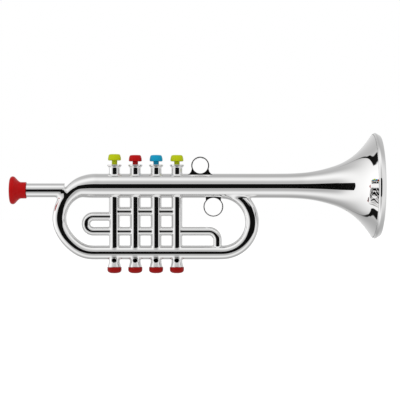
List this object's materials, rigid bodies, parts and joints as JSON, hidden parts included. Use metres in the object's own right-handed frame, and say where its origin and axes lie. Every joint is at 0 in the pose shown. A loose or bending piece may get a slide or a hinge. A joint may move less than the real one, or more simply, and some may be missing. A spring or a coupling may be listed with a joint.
{
  "type": "toy trumpet",
  "caption": "Toy trumpet in plated plastic with a flared bell, push-on mouthpiece, finger rings and sprung reed valves with coloured key buttons.",
  "frame": {"origin": "middle of the valve block, between the second and third casings, where the hand holds the toy", "axes": "+X towards the bell, +Z towards the key buttons, Y across, with Y = 0 where the two body halves meet"},
  "size_m": [0.3698, 0.1054, 0.1401],
  "materials": {
    "plated_body": "bright mirror plating on moulded plastic",
    "red_plastic": "glossy moulded plastic, self-coloured red",
    "lime_plastic": "glossy moulded plastic, self-coloured lime yellow",
    "blue_plastic": "glossy moulded plastic, self-coloured light blue",
    "natural_plastic": "uncoloured moulded plastic",
    "reed_brass": "rolled sheet",
    "spring_steel": "drawn wire",
    "pad_rubber": "soft foam rubber"
  },
  "bodies": {
    "trumpet": {"body_half_front": "plated_body", "body_half_back": "plated_body", "bell_rim_ring": "plated_body", "mouthpiece": "red_plastic", "valve_collar_1": "plated_body", "reed_holder_1": "natural_plastic", "reed_1": "reed_brass", "bottom_cap_1": "red_plastic", "return_spring_1": "spring_steel", "valve_collar_2": "plated_body", "reed_holder_2": "natural_plastic", "reed_2": "reed_brass", "bottom_cap_2": "red_plastic", "return_spring_2": "spring_steel", "valve_collar_3": "plated_body", "reed_holder_3": "natural_plastic", "reed_3": "reed_brass", "bottom_cap_3": "red_plastic", "return_spring_3": "spring_steel", "valve_collar_4": "plated_body", "reed_holder_4": "natural_plastic", "reed_4": "reed_brass", "bottom_cap_4": "red_plastic", "return_spring_4": "spring_steel"},
    "key_1": {"key_button_1": "lime_plastic", "plunger_1": "natural_plastic", "valve_pad_1": "pad_rubber"},
    "key_2": {"key_button_2": "red_plastic", "plunger_2": "natural_plastic", "valve_pad_2": "pad_rubber"},
    "key_3": {"key_button_3": "blue_plastic", "plunger_3": "natural_plastic", "valve_pad_3": "pad_rubber"},
    "key_4": {"key_button_4": "lime_plastic", "plunger_4": "natural_plastic", "valve_pad_4": "pad_rubber"}
  },
  "joints": [
    {"name": "key_1_press", "type": "slide", "parent": "trumpet", "child": "key_1", "axis": [0, 0, -1], "range_m": [0, 0.0036], "stiffness_N_per_m": 250, "springref_m": -0.004, "deforming": ["return_spring_1"]},
    {"name": "key_2_press", "type": "slide", "parent": "trumpet", "child": "key_2", "axis": [0, 0, -1], "range_m": [0, 0.0028], "stiffness_N_per_m": 250, "springref_m": -0.004, "deforming": ["return_spring_2"]},
    {"name": "key_3_press", "type": "slide", "parent": "trumpet", "child": "key_3", "axis": [0, 0, -1], "range_m": [0, 0.0028], "stiffness_N_per_m": 250, "springref_m": -0.004, "deforming": ["return_spring_3"]},
    {"name": "key_4_press", "type": "slide", "parent": "trumpet", "child": "key_4", "axis": [0, 0, -1], "range_m": [0, 0.0028], "stiffness_N_per_m": 250, "springref_m": -0.004, "deforming": ["return_spring_4"]}
  ]
}
